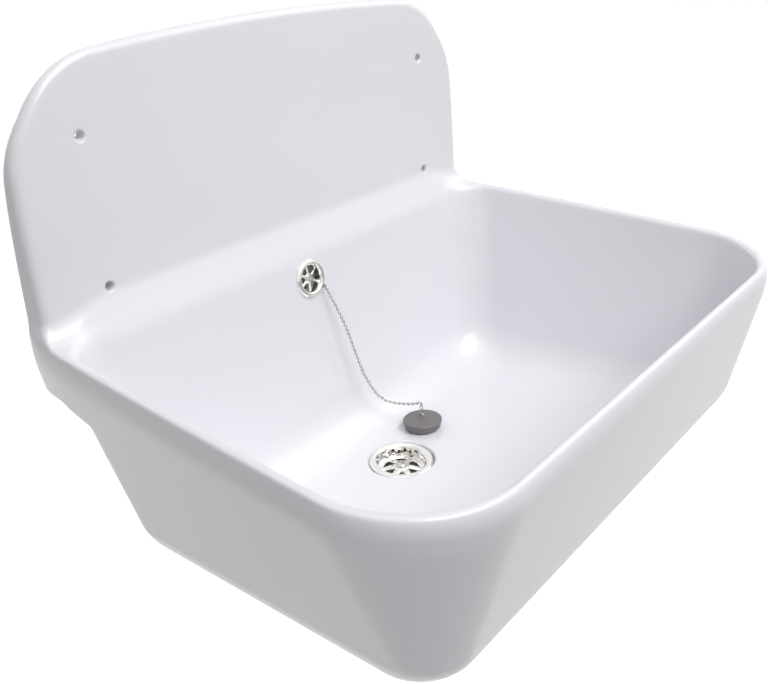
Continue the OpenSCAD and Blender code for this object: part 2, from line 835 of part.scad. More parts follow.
// Stay at the edge of the overflow face: a pin, two ears and the bar the chain hangs from
stay_bar_z = rosette_t + 3;
stay_bar_d = 1.2;
ear_t = 0.8;
ear_gap = 2;
stay_head_d = 2 * ear_t + ear_gap;
module at_stay() {
    at_overflow()
        translate([stay_x, stay_y, 0])
            children();
}
module chain_stay() {
    color("silver")
        at_stay()
            union() {
                cylinder(d = stay_d, h = rosette_t + 0.5);
                translate([0, 0, rosette_t + eps])
                    cylinder(d = stay_head_d + 0.6, h = 0.8);
                for (x = [-stay_head_d / 2, ear_gap / 2])
                    translate([x, -0.8, rosette_t + 0.5])
                        cube([ear_t, 1.6, stay_bar_z - rosette_t + 0.2]);
                translate([-stay_head_d / 2 - 0.2, 0, stay_bar_z])
                    rotate([0, 90, 0])
                        cylinder(d = stay_bar_d, h = stay_head_d + 0.4, $fn = 24);
            }
}
// Rings at the chain's two ends: one turns on the stay's bar, the other holds the link
end_ring_r = 1.25;
end_ring_wire = 0.9;
module end_ring() {
    rotate_extrude()
        translate([end_ring_r, 0])
            circle(d = end_ring_wire, $fn = 16);
}
module chain_ring() {
    color("silver")
        union() {
            at_stay()
                translate([0, 0, stay_bar_z])
                    rotate([0, 90, 0])
                        end_ring();
            at_plug()
                translate([0, 0, plug_h + link_z + 2 * link_r + link_l])
                    rotate([90, 0, 0])
                        end_ring();
        }
}

basin();
waste_flange();
waste_screw();
flange_seal();
under_seal();
waste_body();
waste_nut_insert();
overflow_rosette();
overflow_screw();
overflow_seal();
overflow_elbow();
elbow_nut_insert();
overflow_pipe();
upper_union_nut();
lower_union_nut();
upper_cone_seal();
lower_cone_seal();
chain_stay();
chain_ring();
ball_chain();
chain_link();
plug_eye();
plug();
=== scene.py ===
import math

import bmesh
import bpy
import numpy as np
from mathutils import Matrix, Vector


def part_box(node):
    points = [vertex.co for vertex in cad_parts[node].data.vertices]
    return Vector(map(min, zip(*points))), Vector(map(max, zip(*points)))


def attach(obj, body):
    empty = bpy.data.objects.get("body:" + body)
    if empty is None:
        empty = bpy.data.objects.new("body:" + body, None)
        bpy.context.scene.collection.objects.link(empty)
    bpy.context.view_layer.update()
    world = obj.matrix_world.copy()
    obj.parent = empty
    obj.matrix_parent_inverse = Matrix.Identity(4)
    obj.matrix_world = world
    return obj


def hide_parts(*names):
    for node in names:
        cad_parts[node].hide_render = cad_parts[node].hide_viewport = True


bl_info = {
    "name": "Mop Service Sink",
    "version": (1, 0, 0),
    "blender": (4, 5, 0),
    "location": "View3D > Sidebar > Sink",
    "description": "Builds a wall-hung utility sink with its fittings, plug and chain",
    "category": "Object",
}

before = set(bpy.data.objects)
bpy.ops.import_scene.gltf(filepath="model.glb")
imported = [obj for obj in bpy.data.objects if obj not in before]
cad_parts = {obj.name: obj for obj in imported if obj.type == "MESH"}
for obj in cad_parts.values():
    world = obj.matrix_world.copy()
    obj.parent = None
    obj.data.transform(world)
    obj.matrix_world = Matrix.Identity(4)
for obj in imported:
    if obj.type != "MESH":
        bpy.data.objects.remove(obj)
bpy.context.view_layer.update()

MM = 0.001
# The rim lies this far below the middle of the fixing holes, which is the origin
RIM_Z = -85.0
# Edges sharper than this many degrees stay sharp on the small pieces
CREASE = 38
BAR_SIDES = 14


# ---------------------------------------------------------------- settings
class SinkShape(bpy.types.PropertyGroup):
    """Sizes of the white moulding."""

    bowl_width: bpy.props.FloatProperty(
        name="Bowl width", description="Width over the lip at the front",
        default=0.575, unit="LENGTH")
    bowl_depth: bpy.props.FloatProperty(
        name="Bowl depth", description="From the wall to the front of the lip",
        default=0.401, unit="LENGTH")
    wall_width: bpy.props.FloatProperty(
        name="Wall width", description="Width of the panel at the wall",
        default=0.534, unit="LENGTH")
    panel_height: bpy.props.FloatProperty(
        name="Panel height", description="Height of the panel over the rim",
        default=0.211, unit="LENGTH")
    floor_depth: bpy.props.FloatProperty(
        name="Floor depth", description="Depth of the floor at the waste",
        default=0.192, unit="LENGTH")
    cell: bpy.props.FloatProperty(
        name="Mesh cell", description="Widest spacing of the moulding's mesh",
        default=0.0026, unit="LENGTH")


class SinkFinish(bpy.types.PropertyGroup):
    """Colours of the finishes."""

    moulding: bpy.props.FloatVectorProperty(
        name="Moulding", description="Colour of the white moulding", subtype="COLOR", size=3,
        default=(0.820, 0.815, 0.852))
    chrome: bpy.props.FloatVectorProperty(
        name="Chrome", description="Tint of the chromed brass", subtype="COLOR", size=3,
        default=(0.80, 0.79, 0.75))
    plug: bpy.props.FloatVectorProperty(
        name="Plug", description="Colour of the plug's rubber", subtype="COLOR", size=3,
        default=(0.175, 0.162, 0.159))
    nickel: bpy.props.FloatVectorProperty(
        name="Nickel", description="Tint of the chain's nickel plate", subtype="COLOR", size=3,
        default=(0.46, 0.45, 0.43))
    pipe: bpy.props.FloatVectorProperty(
        name="Pipework", description="Colour of the white fittings behind the bowl",
        subtype="COLOR", size=3, default=(0.76, 0.76, 0.74))


class SinkStage(bpy.types.PropertyGroup):
    """Light, floor and camera."""

    lens: bpy.props.FloatProperty(
        name="Lens", description="Focal length on a sensor 36 mm wide", default=43.29)
    floor_drop: bpy.props.FloatProperty(
        name="Floor drop", description="Height of the origin over the floor",
        default=0.95, unit="LENGTH")
    dome: bpy.props.FloatProperty(
        name="Dome light", description="Strength of the light from all round", default=0.05)
    top_lamp: bpy.props.FloatProperty(
        name="Top lamp", description="Power of the softbox over the sink",
        default=3.5, unit="POWER")
    front_lamp: bpy.props.FloatProperty(
        name="Front lamp", description="Power of the softbox in front and above",
        default=38.5, unit="POWER")
    right_lamp: bpy.props.FloatProperty(
        name="Right lamp", description="Power of the softbox at the right",
        default=12.0, unit="POWER")
    left_lamp: bpy.props.FloatProperty(
        name="Left lamp", description="Power of the softbox at the left",
        default=10.5, unit="POWER")
    fill_lamp: bpy.props.FloatProperty(
        name="Fill lamp", description="Power of the low softbox at the right",
        default=5.0, unit="POWER")
    back_lamp: bpy.props.FloatProperty(
        name="Back lamp", description="Power of the softbox behind the wall's plane",
        default=20.0, unit="POWER")


# ---------------------------------------------------------------- materials
def node_maker(owner):
    """Empties the node tree of a material or world, and adds a way to make its nodes."""
    owner.use_nodes = True
    tree = owner.node_tree
    tree.nodes.clear()

    def add(kind, **values):
        node = tree.nodes.new(kind)
        for key, value in values.items():
            if key in node.inputs:
                node.inputs[key].default_value = value
            else:
                setattr(node, key, value)
        return node

    return tree, add


def seen_directly(tree, add):
    """One for what the camera or a mirror sees, and nought for what lights the scene."""
    path = add("ShaderNodeLightPath")
    seen = add("ShaderNodeMath", operation="MAXIMUM")
    tree.links.new(path.outputs["Is Camera Ray"], seen.inputs[0])
    tree.links.new(path.outputs["Is Glossy Ray"], seen.inputs[1])
    return seen.outputs[0]


def mix_shaders(tree, add, factor, first, second):
    pick = add("ShaderNodeMixShader")
    tree.links.new(factor, pick.inputs[0])
    tree.links.new(first.outputs[0], pick.inputs[1])
    tree.links.new(second.outputs[0], pick.inputs[2])
    return pick.outputs[0]


def surface(name, colour, variation, roughness, metallic=0.0, coat=0.0, bump=0.02, bump_size=900.0):
    """A procedural finish: slight colour and gloss changes, and a fine relief."""
    found = bpy.data.materials.get(name)
    if found:
        return found
    material = bpy.data.materials.new(name)
    tree, add = node_maker(material)
    link = tree.links.new
    place = add("ShaderNodeTexCoord")
    broad = add("ShaderNodeTexNoise", Scale=14.0, Detail=3.0, Roughness=0.5)
    fine = add("ShaderNodeTexNoise", Scale=900.0, Detail=4.0, Roughness=0.6)
    link(place.outputs["Object"], broad.inputs["Vector"])
    link(place.outputs["Object"], fine.inputs["Vector"])
    tint = add("ShaderNodeMix", data_type="RGBA")
    light = [min(1.0, c * (1 + variation)) for c in colour]
    dark = [c * (1 - variation) for c in colour]
    tint.inputs["A"].default_value = (*dark, 1)
    tint.inputs["B"].default_value = (*light, 1)
    link(broad.outputs["Fac"], tint.inputs["Factor"])
    gloss = add("ShaderNodeMapRange")
    gloss.inputs["To Min"].default_value = roughness * 0.85
    gloss.inputs["To Max"].default_value = roughness * 1.2
    link(fine.outputs["Fac"], gloss.inputs["Value"])
    relief = add("ShaderNodeTexNoise", Scale=bump_size, Detail=3.0)
    link(place.outputs["Object"], relief.inputs["Vector"])
    bumped = add("ShaderNodeBump", Strength=bump, Distance=0.0004)
    link(relief.outputs["Fac"], bumped.inputs["Height"])
    shader = add("ShaderNodeBsdfPrincipled", Metallic=metallic)
    shader.inputs["Coat Weight"].default_value = coat
    shader.inputs["Coat Roughness"].default_value = 0.12
    link(tint.outputs["Result"], shader.inputs["Base Color"])
    link(gloss.outputs["Result"], shader.inputs["Roughness"])
    link(bumped.outputs["Normal"], shader.inputs["Normal"])
    out = add("ShaderNodeOutputMaterial")
    link(shader.outputs["BSDF"], out.inputs["Surface"])
    return material


def finish(name):
    """The material of one of the sink's finishes."""
    colours = bpy.context.scene.sink_finish
    if name == "moulding":
        return surface("glossy_white_skin", colours.moulding, 0.006, 0.30, coat=0.35,
                       bump=0.03, bump_size=260.0)
    if name == "chrome":
        return surface("polished_chrome", colours.chrome, 0.03, 0.09, metallic=1.0, bump=0.02)
    if name == "nickel":
        return surface("chain_nickel", colours.nickel, 0.06, 0.26, metallic=1.0, bump=0.04)
    if name == "steel":
        return surface("screw_steel", (0.62, 0.62, 0.60), 0.05, 0.24, metallic=1.0, bump=0.05)
    if name == "brass":
        return surface("insert_brass", (0.72, 0.56, 0.30), 0.05, 0.3, metallic=1.0, bump=0.05)
    if name == "seal":
        return surface("dark_seal", (0.035, 0.035, 0.038), 0.1, 0.55, bump=0.1)
    if name == "plug":
        return surface("grey_plug", colours.plug, 0.06, 0.46, bump=0.08, bump_size=1400.0)
    if name == "nut":
        return surface("union_nut_white", (0.70, 0.70, 0.68), 0.02, 0.42, bump=0.05)
    return surface("waste_pipe_white", colours.pipe, 0.015, 0.34, bump=0.04)


def give(obj, material):
    obj.data.materials.clear()
    obj.data.materials.append(material)


def add_piece(name, data, body, material, nodes=()):
    """Puts a mesh or curve in the scene, riding on a body and standing for CAD nodes."""
    obj = bpy.data.objects.new(name, data)
    bpy.context.scene.collection.objects.link(obj)
    give(obj, material)
    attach(obj, body)
    if nodes:
        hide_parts(*nodes)
    return obj


def turned_piece(name, mesh, body, material, nodes=()):
    """Makes a piece of a bmesh, smooth apart from its sharp edges."""
    bmesh.ops.remove_doubles(mesh, verts=mesh.verts, dist=1e-6)
    bmesh.ops.recalc_face_normals(mesh, faces=mesh.faces)
    data = bpy.data.meshes.new(name)
    mesh.to_mesh(data)
    mesh.free()
    data.shade_smooth()
    data.set_sharp_from_angle(angle=math.radians(CREASE))
    return add_piece(name, data, body, material, nodes)


def loft(mesh, rings):
    """Faces between each ring of points and the next."""
    for low, high in zip(rings, rings[1:]):
        for i, start in enumerate(low):
            j = (i + 1) % len(low)
            corners = list(dict.fromkeys((start, low[j], high[j], high[i])))
            if len(corners) > 2:
                mesh.faces.new(corners)


def fillet(points, radius, steps=4):
    """Rounds the corners of an open outline."""
    found = [tuple(points[0])]
    for a, b, c in zip(points, points[1:], points[2:]):
        corner = Vector(b)
        before, after = Vector(a) - corner, Vector(c) - corner
        cut = min(radius, 0.45 * before.length, 0.45 * after.length)
        start, end = corner + before.normalized() * cut, corner + after.normalized() * cut
        for i in range(steps + 1):
            t = i / steps
            found.append(tuple(start * (1 - t) ** 2 + corner * 2 * t * (1 - t) + end * t * t))
    return found + [tuple(points[-1])]


def lathe(mesh, outline, place, segments=96, closed=True, wave=None):
    """Turns an outline of radius and height round the Z axis of a place. Millimetres."""
    rings = []
    for r, z in outline:
        if r < 1e-6:
            rings.append([mesh.verts.new(place @ Vector((0, 0, z * MM)))] * segments)
            continue
        ring = []
        for i in range(segments):
            t = math.tau * i / segments
            out = (r + (wave(i, r, z) if wave else 0)) * MM
            at = Vector((out * math.cos(t), out * math.sin(t), z * MM))
            ring.append(mesh.verts.new(place @ at))
        rings.append(ring)
    loft(mesh, rings + rings[:1] if closed else rings)


def sweep(mesh, path, place, wide, high, up=(0, 0, 1)):
    """A bar with an oval section along a path. Millimetres."""
    points = [Vector(p) * MM for p in path]
    rings = []
    for i, point in enumerate(points):
        ahead = points[min(i + 1, len(points) - 1)] - points[max(i - 1, 0)]
        side = ahead.cross(Vector(up)).normalized()
        top = side.cross(ahead).normalized()
        ring = []
        for k in range(BAR_SIDES):
            t = math.tau * k / BAR_SIDES
            out = side * (wide / 2 * MM * math.cos(t))
            ring.append(mesh.verts.new(place @ (point + out + top * (high / 2 * MM * math.sin(t)))))
        rings.append(ring)
    loft(mesh, rings)
    mesh.faces.new(rings[0][::-1])
    mesh.faces.new(rings[-1])


def tipped(place, degrees):
    """A place in millimetres, tipped about the X axis."""
    matrix = Matrix.Rotation(math.radians(degrees), 4, "X")
    matrix.translation = Vector(place) * MM
    return matrix


# ---------------------------------------------------------------- the moulding's shape
# Millimetres, and heights from the rim
SKIN = 5.0
PANEL_SKIN = 4.0
# The bowl's wall gets no thinner than this, from a depth below the rim. The field is steep
# in the two low front corners, past these places and runs, so the wall there asks for more
LEAST_WALL = 4.2
WALL_RUN = 25.0
STEEP_MORE = 1.3
STEEP_X, STEEP_X_RUN = 165.0, 40.0
STEEP_Y, STEEP_Y_RUN = 285.0, 40.0
STEEP_Z, STEEP_Z_RUN = 105.0, 30.0

# Lip: its height, width, inner rounding and outer rounding, which is larger at the front
LIP_H = 18.0
LIP_IN = 10.0
LIP_EDGE = 4.0
LIP_ROUND = 3.0
FRONT_LIP = 2.0
# Half the height over which the lip fades into the drafted wall
LIP_FADE = 12.0
# The outer rounding starts this far from the wall, and is full after the run
LIP_START, LIP_RUN = 4.0, 40.0

# Slopes of the sides, front, back wall, floor and panel
DRAFT = math.radians(11.3)
SIDE_SLOPE = math.tan(DRAFT)
FRONT_SLOPE = math.tan(math.radians(10.8))
BACK_SLOPE = math.tan(DRAFT)
FALL = math.tan(math.radians(5.0))
LEAN = math.tan(math.radians(4.5))

# Places of the waste and the overflow
WASTE_Y = 150.0
BACK_Y = 39.0
OVER_DROP = 31.0
OVER_TILT = DRAFT

# Panel: depth at the rim, top corners, rise of the top edge, narrowing, edges,
# and the flange that goes on below the rim
PANEL_D = 23.0
PANEL_CORNER = 78.0
PANEL_ARCH = 7.0
PANEL_TAPER = 3.0
PANEL_SIDE_DRAFT = 1.5
PANEL_EDGE = 7.0
REAR_EDGE = 1.8
FLANGE_H = 48.5
# Hollow between the bowl and the flange; the bowl's back corners get round below the flange
UNDER_HOLLOW = 12.0
UNDER_EDGE = 1.5
UNDER_GAP, UNDER_RUN = 2.0, 8.0

# Hollow of the ledge, which gets tighter from a place beside the middle to its ends
LEDGE_R = 26.0
LEDGE_END_R = 16.0
LEDGE_FADE_X, LEDGE_FADE = 205.0, 62.0
# The back wall rolls over into the panel between these heights, and hides in the panel above them
ROLL_LOW = -14.0
ROLL_HIGH = 28.0
HIDDEN_SLOPE = 0.4

# The bowl's inner edge is rounder, and fades out higher, at the two rear ends of the rim
EDGE_FADE = 8.0
REAR_ROUND = 2.0
REAR_X, REAR_X_RUN = 215.0, 15.0
REAR_Y, REAR_Y_RUN = 75.0, 25.0

# Bottom edge, its bow along the front, the sides' widening and the corners
BOTTOM_R = 58.0
FRONT_SWEEP = 17.0
FLARE_END = 74.0
LOW_FLARE = 0.6
RIM_CORNER = 88.0
LOW_CORNER = 38.0
BACK_CORNER = 37.0
BACK_SHARP = 9.0

# Fixing holes, bosses round them, and ribs
HOLE_R = 4.0
HOLE_EDGE = 0.5
HOLES = [(sx * 205.0, sz * 59.0 + 85.0) for sx in (-1, 1) for sz in (-1, 1)]
RIBS = [-205.0, -205.0 / 3, 205.0 / 3, 205.0]
RIB_T = 3.0
RIB_SETBACK = 2.0
BOSS_R = 10.0
POCKET_EDGE = 2.0

# Recess for the waste: depth, radii of the recess and of the pad under it, pad's thickness, hole
SEAT_DROP = 3.5
SEAT_R = 32.5
PAD_R = 37.5
PAD_T = 8.0
WASTE_HOLE_R = 25.0
# The waste's hole is cut below this height only
WASTE_CUT = -150.0

# Overflow hole, and the opening in the flange behind it for the elbow
OVER_HOLE_R = 13.0
OVER_REACH = 12.0
NOTCH_HALF = 20.5
NOTCH_TOP, NOTCH_LOW = 4.0, -50.0


def rounded_max(a, b, r):
    """Intersection of two shapes with an edge rounded to radius r."""
    return np.minimum(np.maximum(a, b), -r) + np.hypot(np.maximum(a + r, 0), np.maximum(b + r, 0))


def rounded_min(a, b, r):
    """Union of two shapes with a hollow of radius r."""
    return -rounded_max(-a, -b, r)


def ease(t):
    """Goes from nought to one with a soft start and end."""
    t = np.clip(t, 0, 1)
    return t * t * (3 - 2 * t)


def face_y(z):
    """The panel's leaning face."""
    return -(PANEL_D - LEAN * z)


def back_y(z):
    """The bowl's back wall, which rolls over into the panel's face."""
    low = -BACK_Y - BACK_SLOPE * (-OVER_DROP - z)
    start = -BACK_Y - BACK_SLOPE * (-OVER_DROP - ROLL_LOW)
    run = ROLL_HIGH - ROLL_LOW
    reach = face_y(ROLL_HIGH) - start
    t = np.clip((z - ROLL_LOW) / run, 0, 1)
    m0, m1 = BACK_SLOPE * run / reach, LEAN * run / reach
    s = m0 * (t ** 3 - 2 * t ** 2 + t) + (3 * t ** 2 - 2 * t ** 3) + m1 * (t ** 3 - t ** 2)
    rolled = start + reach * s
    hidden = face_y(z) - HIDDEN_SLOPE * (z - ROLL_HIGH)
    return np.where(z < ROLL_LOW, low, np.where(z < ROLL_HIGH, rolled, hidden))


class Moulding:
    """The white moulding as a field: below zero in the solid. Millimetres, z from the rim."""

    def __init__(self, shape):
        self.w = shape.bowl_width / MM
        self.d = shape.bowl_depth / MM
        self.wall_w = shape.wall_width / MM
        self.panel_h = shape.panel_height / MM
        self.floor = -shape.floor_depth / MM
        # Height of the round bottom edge where it meets the drafted walls
        self.bend = BOTTOM_R * (1 - math.sin(DRAFT))
        self.inner_top = self.floor + self.bend - SKIN
        self.outer_top = self.floor - SKIN + self.bend

    def flare(self, y, low):
        """The bowl's width from the wall to the front, as a share of its full width."""
        t = np.clip(-y / (self.d - FLARE_END), 0, 1)
        wider = (self.w - self.wall_w) * ((1 - low) * np.sqrt(t) + low * LOW_FLARE * t)
        return (self.wall_w + wider) / self.w

    def drop(self, z):
        """Depth below the lip, which fades in so that the lip ends in no hard line."""
        t = np.clip((LIP_FADE - LIP_H - z) / (2 * LIP_FADE), 0, 1)
        return np.where(t < 1, LIP_FADE * t * t, -LIP_H - z)

    def rise(self, y):
        """Height of the sloping floor over its level at the waste."""
        return FALL * (-WASTE_Y - y)

    def turned_in(self, z, floor, radius):
        """How far the round bottom edge has turned in at a height over the floor."""
        h = np.clip((z - floor) / radius, 0, 1 - math.sin(DRAFT))
        return (radius * (math.cos(DRAFT) - np.sqrt(1 - (1 - h) ** 2))
                - SIDE_SLOPE * radius * (1 - math.sin(DRAFT) - h))

    def front_corner(self, fade):
        """Radius of the two front corners, from the rim (0) to the bottom (1)."""
        return RIM_CORNER + (LOW_CORNER - RIM_CORNER) * fade

    def outside(self, x, y, z):
        """The outer skin, and the fields that the inside is measured from."""
        rise = self.rise(y)
        run = -LIP_H - self.outer_top
        level = np.where(z > -LIP_H, z, (z + LIP_H * rise / run) / (1 - rise / run))
        fade = np.clip((-LIP_H - level) / run, 0, 1)
        level = np.where(fade < 1, level, z - rise)
        # Just below one, where the rounding's slope has no end
        height = np.clip((z + LIP_H) / LIP_H, 0, 0.9999)
        lip = LIP_ROUND * (1 - np.sqrt(1 - height ** 2))
        lip = lip * ease((-y - LIP_START) / LIP_RUN)
        drafted = self.flare(y, fade) * (self.w / 2 - SIDE_SLOPE * self.drop(level))
        rim_side = self.flare(y, 0) * (self.w / 2 - SIDE_SLOPE * self.drop(z)) - lip
        shoulder_z = self.panel_h - PANEL_ARCH - PANEL_CORNER
        panel_side = (self.wall_w / 2 - PANEL_TAPER * np.clip(z / shoulder_z, 0, 1.3) ** 4
                      + PANEL_SIDE_DRAFT * y / PANEL_D)
        up = ease(z / LEDGE_END_R)
        side = np.where(z < -LIP_H, drafted, rim_side * (1 - up) + panel_side * up)
        a = np.abs(x) - side
        turned = self.turned_in(z - rise, self.floor - SKIN, BOTTOM_R)
        sweep = FRONT_SWEEP / BOTTOM_R * turned
        b = -y - (self.d - FRONT_LIP * lip - FRONT_SLOPE * self.drop(z)) + sweep
        walls = rounded_max(a, b, self.front_corner(fade) - lip + turned)
        rear = y - (-BACK_Y - BACK_SLOPE * (-OVER_DROP - z)) - SKIN
        under = -FLANGE_H - z
        behind = rounded_min(rear, under, UNDER_HOLLOW)
        below = ease((-FLANGE_H - UNDER_GAP - z) / UNDER_RUN)
        back_corner = BACK_CORNER - BACK_SHARP * (0.7 + fade) + turned
        walls = rounded_max(walls, behind, UNDER_EDGE + (back_corner - UNDER_EDGE) * below)
        walls = rounded_max(walls, self.floor - SKIN + rise - z, self.bend)
        shell = walls
        shoulder_x = self.wall_w / 2 - PANEL_TAPER - PANEL_CORNER
        arch = z - (self.panel_h - PANEL_ARCH * (x / shoulder_x) ** 2)
        walls = rounded_max(walls, arch, PANEL_CORNER)
        to_end = ease((np.abs(x) - LEDGE_FADE_X) / LEDGE_FADE)
        ledge = LEDGE_R + (LEDGE_END_R - LEDGE_R) * to_end
        core = rounded_min(z, face_y(z) - y, ledge)
        walls = rounded_max(walls, core, 1.0 + (PANEL_EDGE - 1.0) * up)
        return rounded_max(walls, y, REAR_EDGE), shell, arch, a, core

    def cavity(self, x, y, z):
        """The bowl's inside."""
        rise = self.rise(y)
        root = np.sqrt(np.maximum(self.inner_top ** 2 + 4 * rise * np.minimum(z, 0), 1.0))
        low = np.clip(-2 * z / (root - self.inner_top), 0, 1)
        deep = SIDE_SLOPE * (-LIP_H - self.inner_top) + SKIN
        front_deep = FRONT_SLOPE * (-LIP_H - self.inner_top - self.rise(-self.d)) + SKIN
        level = np.minimum(z - rise, self.inner_top)
        under_bend = (self.inner_top - level) * (low >= 1)
        side_in = LIP_IN + (deep - LIP_IN) * low + SIDE_SLOPE * under_bend
        front_in = LIP_IN + (front_deep - LIP_IN) * low + FRONT_SLOPE * under_bend
        turned = self.turned_in(z - rise, self.floor, BOTTOM_R - SKIN)
        a = np.abs(x) - self.flare(y, low * low) * (self.w / 2 - side_in)
        b = -y - (self.d - front_in) + FRONT_SWEEP / (BOTTOM_R - SKIN) * turned
        plan = rounded_max(a, b, self.front_corner(low) - SKIN + turned)
        plan = rounded_max(plan, y - back_y(z), BACK_CORNER + turned)
        return rounded_max(plan, self.floor + rise - z, self.bend - SKIN)

    def pocket(self, x, y, z, arch, a, core):
        """Hollow behind the panel, with a boss at each fixing hole and four ribs."""
        front = np.where(z > ROLL_HIGH, face_y(z) + PANEL_SKIN, back_y(z) + SKIN)
        outline = rounded_max(a, arch, PANEL_CORNER) + PANEL_SKIN + POCKET_EDGE
        shape = np.maximum(np.maximum(outline, front - y), -FLANGE_H + PANEL_SKIN + 1 - z)
        shape = np.maximum(shape, core + PANEL_SKIN + 0.5)
        for hx, hz in HOLES:
            shape = np.maximum(shape, BOSS_R - np.hypot(x - hx, z - hz))
        for rib in RIBS:
            shape = np.maximum(shape, np.minimum(RIB_T / 2 - np.abs(x - rib), -RIB_SETBACK - y))
        return shape

    def overflow_place(self, y, z):
        """Height up the back wall from the overflow's middle, and distance in front of the wall."""
        up = (y + BACK_Y) * math.sin(OVER_TILT) + (z + OVER_DROP) * math.cos(OVER_TILT)
        out = -(y + BACK_Y) * math.cos(OVER_TILT) + (z + OVER_DROP) * math.sin(OVER_TILT)
        return up, out

    def field(self, x, y, z):
        """The whole moulding."""
        outer, shell, arch, a, core = self.outside(x, y, z)
        steep = ease((np.abs(x) - STEEP_X) / STEEP_X_RUN) * ease((-y - STEEP_Y) / STEEP_Y_RUN)
        steep = steep * ease((-z - STEEP_Z) / STEEP_Z_RUN)
        wall = LEAST_WALL * (1 + STEEP_MORE * steep) * ease(-z / WALL_RUN)
        cavity = np.maximum(self.cavity(x, y, z), shell + wall)
        corner = ease((np.abs(x) - REAR_X) / REAR_X_RUN) * ease((y + REAR_Y) / REAR_Y_RUN)
        edge = LIP_EDGE + REAR_ROUND * corner
        edge = edge * (1 - ease(z / (EDGE_FADE + EDGE_FADE * corner)))
        solid = rounded_max(outer, -cavity, edge)
        solid = np.maximum(solid, -self.pocket(x, y, z, arch, a, core))
        r = np.hypot(x, y + WASTE_Y)
        seat = self.floor - SEAT_DROP
        solid = np.minimum(solid, np.maximum(r - PAD_R, np.maximum(z - seat, seat - PAD_T - z)))
        solid = np.maximum(solid, -np.maximum(r - SEAT_R, seat - z))
        solid = np.maximum(solid, np.minimum(WASTE_HOLE_R - r, WASTE_CUT - z))
        up, out = self.overflow_place(y, z)
        hole = np.minimum(OVER_HOLE_R - np.hypot(x, up), OVER_REACH - np.abs(out))
        solid = np.maximum(solid, hole)
        notch = np.maximum(np.abs(x) - NOTCH_HALF, out + SKIN + 1)
        notch = np.maximum(notch, np.maximum(up - NOTCH_TOP, NOTCH_LOW - up))
        solid = np.maximum(solid, -notch)
        for hx, hz in HOLES:
            solid = rounded_max(solid, HOLE_R - np.hypot(x - hx, z - hz), HOLE_EDGE)
        return solid


GRID_GROWTH = 0.35
GRID_SLAB = 24


def grid_lines(low, high, widest, fine_places):
    """Coordinates from low to high, closer together near places given as middle, reach and step."""
    lines = [low]
    while lines[-1] < high:
        here = lines[-1]
        step = widest
        for place, reach, close in fine_places:
            away = max(0.0, abs(here - place) - reach)
            step = min(step, close + away * GRID_GROWTH)
        lines.append(here + step)
    return np.array(lines)


def net_surface(field, xs, ys, zs):
    """Quads of the surface where the field is zero: one point in each cell that it crosses."""
    values = np.empty((len(xs), len(ys), len(zs)), np.float32)
    for i in range(0, len(xs), GRID_SLAB):
        slab = slice(i, i + GRID_SLAB)
        values[slab] = field(*np.meshgrid(xs[slab], ys, zs, indexing="ij"))
    inside = values < 0
    count = np.zeros(tuple(n - 1 for n in inside.shape), np.int8)
    corners = [(i, j, k) for i in (0, 1) for j in (0, 1) for k in (0, 1)]
    nx, ny, nz = count.shape
    for i, j, k in corners:
        count += inside[i:i + nx, j:j + ny, k:k + nz]
    cells = np.argwhere((count > 0) & (count < 8))
    ids = np.full(count.shape, -1, np.int64)
    ids[tuple(cells.T)] = np.arange(len(cells))
    axes = (xs, ys, zs)
    low = np.stack([axes[n][cells[:, n]] for n in range(3)], 1)
    size = np.stack([axes[n][cells[:, n] + 1] for n in range(3)], 1) - low
    at = {c: values[cells[:, 0] + c[0], cells[:, 1] + c[1], cells[:, 2] + c[2]] for c in corners}
    total = np.zeros((len(cells), 3))
    hits = np.zeros(len(cells))
    for c in corners:
        for n in range(3):
            if c[n]:
                continue
            other = tuple(1 if m == n else c[m] for m in range(3))
            va, vb = at[c], at[other]
            crossed = (va < 0) != (vb < 0)
            t = np.where(crossed, va / np.where(crossed, va - vb, 1), 0)
            point = np.array(c, float)[None, :].repeat(len(cells), 0)
            point[:, n] = t
            total += point * crossed[:, None]
            hits += crossed
    points = low + size * total / hits[:, None]
    faces = []
    for n in range(3):
        u, v = (n + 1) % 3, (n + 2) % 3
        first = inside.take(range(inside.shape[n] - 1), n)
        second = inside.take(range(1, inside.shape[n]), n)
        edges = np.argwhere(first != second)
        keep = (edges[:, u] > 0) & (edges[:, v] > 0)
        keep &= (edges[:, u] < inside.shape[u] - 1) & (edges[:, v] < inside.shape[v] - 1)
        edges = edges[keep]
        quad = []
        for du, dv in ((-1, -1), (0, -1), (0, 0), (-1, 0)):
            cell = edges.copy()
            cell[:, u] += du
            cell[:, v] += dv
            quad.append(ids[tuple(cell.T)])
        quad = np.stack(quad, 1)
        flip = ~first[tuple(edges.T)]
        quad[flip] = quad[flip][:, ::-1]
        faces.append(quad)
    return points, np.concatenate(faces)


